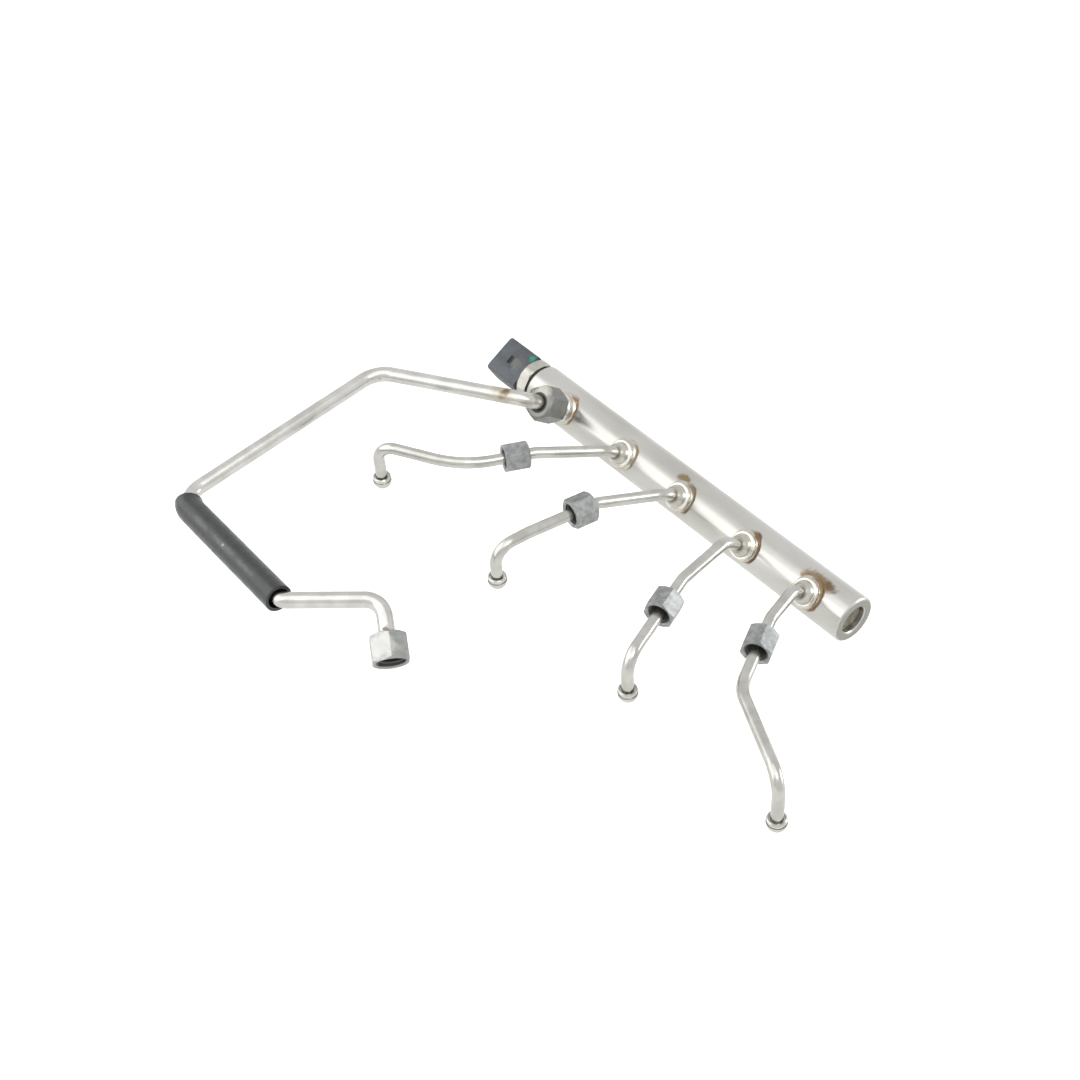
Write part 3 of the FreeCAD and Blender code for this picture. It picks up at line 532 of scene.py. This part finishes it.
class Finish(Enum):
    """The finishes of the real object's pieces."""

    # Drawn steel tube under satin nickel: faintly cloudy along its length, a soft wide highlight.
    RAIL = Metal("satin_nickel_tube", "#C6C5C1", "#B8B7B1", 0.31, cloud_mm=16.0,
                 cloud_stretch=(0.35, 1.0, 1.0), grain_mm=1.2, grain_stretch=(0.1, 1.0, 1.0),
                 marks=SCORCHES + RAIL_SPOTS)
    # Turned bosses under bright nickel: sharper highlights than the tube, a warmer cloud, and
    # painted shade on the cap domes.
    BOSS = Metal("bright_nickel_boss", "#D3D1CA", "#C3BFB5", 0.2, cloud_mm=5.0, marks=CAP_SHADE)
    # Silver-bearing braze filler, plated over: lumpy, with burnt flux at its edge.
    BRAZE = Metal("plated_braze_filler", "#C8C5BC", "#B8B2A5", 0.33, cloud_mm=3.0, grain_mm=1.5,
                  relief_mm=0.06, marks=SCORCHES)
    # Cold-drawn line tube under tin-zinc plating: pale and satin, with a clear streak of light.
    LINE = Metal("tin_zinc_line_tube", "#C1C0BB", "#B1B0AA", 0.23, cloud_mm=9.0)
    # The same tube, with heat-tinted patches beside the inlet.
    FEED = Metal("tin_zinc_feed_tube", "#CCCBC7", "#BCBAB5", 0.23, cloud_mm=11.0, marks=FEED_SPOTS)
    # Forged nuts, barrel plated in zinc: flat grey with fine handling scratches.
    NUT = Metal("barrel_zinc_nut", "#A0A3A1", "#858887", 0.4, 0.06, cloud_mm=3.0, grain_mm=0.5,
                relief_mm=0.008, scratches=0.34, marks=LOOSE_NUT_SHADE)
    # The big loose nut: the same zinc, with a flat rubbed by handling and painted pale as a
    # highlight.
    PUMP_NUT = Metal("rubbed_zinc_nut_painted_highlight", "#9E9F9C", "#8D8F8C", 0.32, 0.06, cloud_mm=4.0,
                     grain_mm=0.5, relief_mm=0.01, scratches=0.3,
                     marks=RUBBED_AND_HIGHLIGHT + LOOSE_NUT_SHADE)
    # The fitted nut: phosphated, darker and duller than the loose ones.
    DARK_NUT = Metal("phosphated_nut", "#858583", "#767674", 0.46, 0.05, cloud_mm=3.0,
                     grain_mm=0.5, relief_mm=0.008, scratches=0.12, marks=FITTED_RINGS)
    # Pressed-in steel plug, bare: warm grey, a little stained.
    PLUG = Metal("bare_steel_plug", "#8F8A7E", "#6F695E", 0.34, 0.06, cloud_mm=4.0,
                 relief_mm=0.008)
    # Machined sensor body, nickel plated: even and satin.
    SENSOR_STEEL = Metal("nickel_sensor_body", "#BDBBB4", "#AFACA4", 0.32, cloud_mm=5.0)
    # Tin-plated contact blades: bright and soft.
    TERMINAL = Metal("tinned_contact", "#C9C4B4", "#B8B2A0", 0.3, cloud_mm=2.0)
    # Extruded nitrile sleeve: near black, waxy bloom in patches, slightly lumpy.
    SLEEVE = Moulding("nitrile_sleeve", "#14191A", "#222829", 0.26, 1.62, 5.0,
                      lump_height_mm=0.14, marks=SLEEVE_DUST_AND_SHEEN)
    # Glass-filled nylon housing: dark blue-grey, matte, with a green paint dab from assembly, a
    # latch block rubbed pale and a window that lies in the shade.
    HOUSING = Moulding("glass_filled_nylon", "#64696E", "#585D61", 0.5, 1.53, 8.0, 0.3,
                       lump_height_mm=0.02,
                       marks=(Spot((-241.5, 2.0, 10.6), 2.4, "#2FA58C", 0.9, 1.0),
                              Spot((-247.2, -5.1, 8.1), 4.2, "#7E7D75", 0.8, 3.0),
                              Spot((-253.0, -4.2, 6.4), 2.0, "#26282A", 0.85, 3.0,
                                   (1.2, 0.8, 1.0))))


def finish_table() -> dict[str, Finish]:
    """List the finish of each solid.

    Returns:
        Finishes by node name.
    """
    table = {
        "rail_tube": Finish.RAIL,
        "end_plug": Finish.PLUG,
        "sensor_port": Finish.BOSS,
        "inlet_boss": Finish.BOSS,
        "inlet_braze": Finish.BRAZE,
        "feed_pipe": Finish.FEED,
        "feed_nut_rail": Finish.DARK_NUT,
        "feed_nut_pump": Finish.PUMP_NUT,
        "feed_sleeve": Finish.SLEEVE,
        "sensor_body": Finish.SENSOR_STEEL,
        "sensor_connector": Finish.HOUSING,
    }
    for number in (1, 2, 3, 4):
        table[f"outlet_boss_{number}"] = Finish.BOSS
        table[f"outlet_braze_{number}"] = Finish.BRAZE
        table[f"injector_line_{number}"] = Finish.LINE
        table[f"injector_nut_{number}"] = Finish.NUT
    for number in (1, 2, 3):
        table[f"sensor_terminal_{number}"] = Finish.TERMINAL
    return table


@dataclass
class NutThread:
    """The thread inside one loose union nut."""

    # Half widths of the ridge at its root and crest as shares of the pitch, and how far its root
    # is sunk in the wall. Points nearer than JOIN_M are one.
    ROOT = 0.46
    CREST = 0.06
    SUNK_MM = 0.02
    JOIN_M = 1e-7

    body: str
    joint: str
    root_radius_mm: float
    depth_mm: float
    pitch_mm: float
    start_mm: float
    end_mm: float
    steps_per_turn: int = 32

    def build(self, joints: dict[str, dict]) -> bpy.types.Object:
        """Wind a ridge up the cavity's wall, along the nut's own hinge.

        Args:
            joints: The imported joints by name.

        Returns:
            The thread, riding on the nut's body.
        """
        joint = joints[self.joint]
        turns = (self.end_mm - self.start_mm) / self.pitch_mm
        mesh = bmesh.new()
        half = self.ROOT * self.pitch_mm
        crest = self.CREST * self.pitch_mm
        inner = self.root_radius_mm - self.depth_mm
        outer = self.root_radius_mm + self.SUNK_MM
        profile = ((outer, -half), (inner, -crest), (inner, crest), (outer, half))
        corners = [mesh.verts.new((radius * MM, 0.0, (self.start_mm + along) * MM))
                   for radius, along in profile]
        face = mesh.faces.new(corners)
        bmesh.ops.spin(
            mesh, geom=[face], cent=(0.0, 0.0, 0.0), axis=(0.0, 0.0, 1.0),
            dvec=(0.0, 0.0, self.pitch_mm * MM / self.steps_per_turn),
            angle=2.0 * math.pi * turns, steps=round(turns * self.steps_per_turn),
            use_merge=False, use_duplicate=False)
        bmesh.ops.remove_doubles(mesh, verts=mesh.verts, dist=self.JOIN_M)
        bmesh.ops.recalc_face_normals(mesh, faces=mesh.faces)
        along_axis = Vector(joint["axis"]).to_track_quat("Z", "X").to_matrix().to_4x4()
        bmesh.ops.transform(
            mesh, matrix=Matrix.Translation(Vector(joint["pos_m"])) @ along_axis, verts=mesh.verts)
        data = bpy.data.meshes.new(f"{self.body}_thread")
        mesh.to_mesh(data)
        mesh.free()
        thread = bpy.data.objects.new(f"{self.body}_thread", data)
        bpy.context.scene.collection.objects.link(thread)
        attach(thread, self.body)
        return thread

    def dress(self, thread: bpy.types.Object, material: bpy.types.Material) -> None:
        """Give the thread its nut's finish.

        Args:
            thread: The thread's object.
            material: The nut's finish.
        """
        thread.data.materials.append(material)


@dataclass
class FuelRail:
    """The whole rail: its solids' finishes and the threads in its loose nuts."""

    line_nut_half_mm: float = 6.5
    line_nut_mouth_mm: float = 1.2
    line_nut_depth_mm: float = 8.5
    line_thread_radius_mm: float = 5.25
    line_thread_depth_mm: float = 0.55
    line_thread_pitch_mm: float = 1.25
    line_thread_runout_mm: float = 1.0
    feed_ball_depth_mm: float = 8.4
    feed_nut_mouth_mm: float = 1.6
    feed_thread_radius_mm: float = 7.0
    feed_thread_depth_mm: float = 0.75
    feed_thread_pitch_mm: float = 1.5
    feed_thread_start_mm: float = -1.2

    def build(self) -> list[tuple[NutThread, bpy.types.Object, Finish]]:
        """Cut the threads inside the five loose nuts.

        Returns:
            Each thread with its object and its finish.
        """
        joints = {joint["name"]: joint for joint in frame["joints"]}
        start = self.line_nut_half_mm - self.line_nut_depth_mm + self.line_thread_runout_mm
        end = self.line_nut_half_mm - self.line_nut_mouth_mm
        threads = [
            (NutThread(f"line_{number}_nut", f"line_{number}_nut_turn",
                       self.line_thread_radius_mm, self.line_thread_depth_mm,
                       self.line_thread_pitch_mm, start, end), Finish.NUT)
            for number in (1, 2, 3, 4)
        ]
        threads.append((NutThread("pump_nut", "pump_nut_turn", self.feed_thread_radius_mm,
                                  self.feed_thread_depth_mm, self.feed_thread_pitch_mm,
                                  self.feed_thread_start_mm,
                                  self.feed_ball_depth_mm - self.feed_nut_mouth_mm),
                        Finish.PUMP_NUT))
        return [(thread, thread.build(joints), finish) for thread, finish in threads]

    def dress(self, threads: list[tuple[NutThread, bpy.types.Object, Finish]]) -> None:
        """Give every solid and every thread its finish.

        Args:
            threads: What build returned.
        """
        materials = {finish: finish.value.make() for finish in Finish}
        for node, finish in finish_table().items():
            solid = frame["nodes"][node]
            solid.data.materials.clear()
            solid.data.materials.append(materials[finish])
        for thread, piece, finish in threads:
            thread.dress(piece, materials[finish])
            LOG.info("%s has %d faces", piece.name, len(piece.data.polygons))


@dataclass(frozen=True)
class Lamp:
    """A soft box that faces the middle of the object."""

    name: str
    place_mm: Triple
    size_mm: tuple[float, float]
    power: float

    def hang(self, target_mm: Triple) -> None:
        """Hang the lamp.

        Args:
            target_mm: The point that it faces.
        """
        data = bpy.data.lights.new(self.name, "AREA")
        data.shape = "RECTANGLE"
        data.size, data.size_y = (side * MM for side in self.size_mm)
        data.energy = self.power
        lamp = bpy.data.objects.new(self.name, data)
        bpy.context.scene.collection.objects.link(lamp)
        lamp.location = Vector(self.place_mm) * MM
        aim = Vector(target_mm) * MM - lamp.location
        lamp.rotation_mode = "QUATERNION"
        lamp.rotation_quaternion = aim.to_track_quat("-Z", "Y")


@dataclass
class Studio:
    """A pale floor, soft lamps and the camera."""

    floor_mm: float = -12.25
    floor_side_mm: float = 6000.0
    floor_colour: str = "#F2F2F0"
    floor_seen: float = 0.78
    floor_mirrored: float = 0.52
    soft_light: float = 0.3
    middle_mm: Triple = (-110.0, -90.0, 0.0)
    camera_mm: Triple = (351.68, -484.14, 600.07)
    camera_right: Triple = (0.6378, 0.7702, 0.0)
    camera_up: Triple = (-0.529, 0.438, 0.7268)
    camera_back: Triple = (0.5597, -0.4637, 0.687)
    lens_mm: float = 58.818
    sensor_mm: float = 36.0
    nearest_mm: float = 10.0
    lamps: tuple[Lamp, ...] = (
        Lamp("front_left", (-730.0, -830.0, 520.0), (1600.0, 1000.0), 6.0),
        Lamp("overhead", (30.0, -480.0, 1000.0), (1100.0, 1000.0), 3.0),
        Lamp("spark", (520.0, -260.0, 900.0), (320.0, 320.0), 1.8),
        Lamp("behind", (505.0, 680.0, 190.0), (420.0, 320.0), 2.1),
    )

    def build(self) -> None:
        """Build the floor, the world, the lamps and the camera."""
        self.lay_floor()
        self.light_world()
        for lamp in self.lamps:
            lamp.hang(self.middle_mm)
        self.set_camera()

    def lay_floor(self) -> None:
        """Lay a pale floor that keeps the soft shadow and shows white round it."""
        mesh = bmesh.new()
        bmesh.ops.create_grid(mesh, x_segments=1, y_segments=1, size=self.floor_side_mm * MM / 2)
        bmesh.ops.translate(mesh, verts=mesh.verts, vec=(0.0, 0.0, self.floor_mm * MM))
        data = bpy.data.meshes.new("floor")
        mesh.to_mesh(data)
        mesh.free()
        floor = bpy.data.objects.new("floor", data)
        bpy.context.scene.collection.objects.link(floor)
        shading = Shading(bpy.data.materials.new("pale_floor"))
        pale = shading.add("ShaderNodeBsdfDiffuse", {"Color": linear(self.floor_colour)}, {})
        white = linear(WHITE)
        seen = shading.add(
            "ShaderNodeEmission", {"Color": white, "Strength": self.floor_seen}, {})
        mirrored = shading.add(
            "ShaderNodeEmission", {"Color": white, "Strength": self.floor_mirrored}, {})
        straight = shading.add("ShaderNodeLightPath", {}, {}, "Is Camera Ray")
        glow = shading.add("ShaderNodeMixShader", {}, {0: straight, 1: mirrored, 2: seen})
        lit = shading.add("ShaderNodeAddShader", {}, {0: pale, 1: glow})
        surface = shading.add(
            "ShaderNodeMixShader", {}, {0: self.seen_rays(shading), 1: pale, 2: lit})
        shading.add("ShaderNodeOutputMaterial", {}, {"Surface": surface})
        data.materials.append(shading.owner)

    def light_world(self) -> None:
        """Make the world white where it is seen or mirrored, and a softer lamp elsewhere."""
        world = bpy.data.worlds.new("studio")
        bpy.context.scene.world = world
        shading = Shading(world)
        white = linear(WHITE)
        soft = shading.add(
            "ShaderNodeBackground", {"Color": white, "Strength": self.soft_light}, {})
        full = shading.add("ShaderNodeBackground", {"Color": white, "Strength": 1.0}, {})
        surface = shading.add(
            "ShaderNodeMixShader", {}, {0: self.seen_rays(shading), 1: soft, 2: full})
        shading.add("ShaderNodeOutputWorld", {}, {"Surface": surface})

    def seen_rays(self, shading: Shading) -> Socket:
        """Tell the rays that show the background: straight, mirrored or through glass.

        Args:
            shading: The tree to add the test to.

        Returns:
            1 for those rays and 0 for all others.
        """
        straight = shading.add("ShaderNodeLightPath", {}, {}, "Is Camera Ray")
        mirrored = shading.add("ShaderNodeLightPath", {}, {}, "Is Glossy Ray")
        through = shading.add("ShaderNodeLightPath", {}, {}, "Is Transmission Ray")
        either = shading.add(
            "ShaderNodeMath", {"operation": "MAXIMUM"}, {0: straight, 1: mirrored})
        return shading.add("ShaderNodeMath", {"operation": "MAXIMUM"}, {0: either, 1: through})

    def set_camera(self) -> None:
        """Set the camera at the photograph's angle."""
        data = bpy.data.cameras.new("camera")
        data.sensor_width = self.sensor_mm
        data.lens = self.lens_mm
        data.clip_start = self.nearest_mm * MM
        camera = bpy.data.objects.new("camera", data)
        bpy.context.scene.collection.objects.link(camera)
        axes = Matrix((self.camera_right, self.camera_up, self.camera_back)).transposed()
        camera.matrix_world = Matrix.Translation(Vector(self.camera_mm) * MM) @ axes.to_4x4()
        bpy.context.scene.camera = camera


def main() -> None:
    """Cut the threads, dress the part and build the studio."""
    logging.basicConfig(level=logging.INFO, format="%(name)s: %(message)s")
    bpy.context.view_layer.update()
    bpy.context.scene.view_settings.view_transform = "Standard"
    rail = FuelRail()
    rail.dress(rail.build())
    Studio().build()


if __name__ == "__main__":
    main()
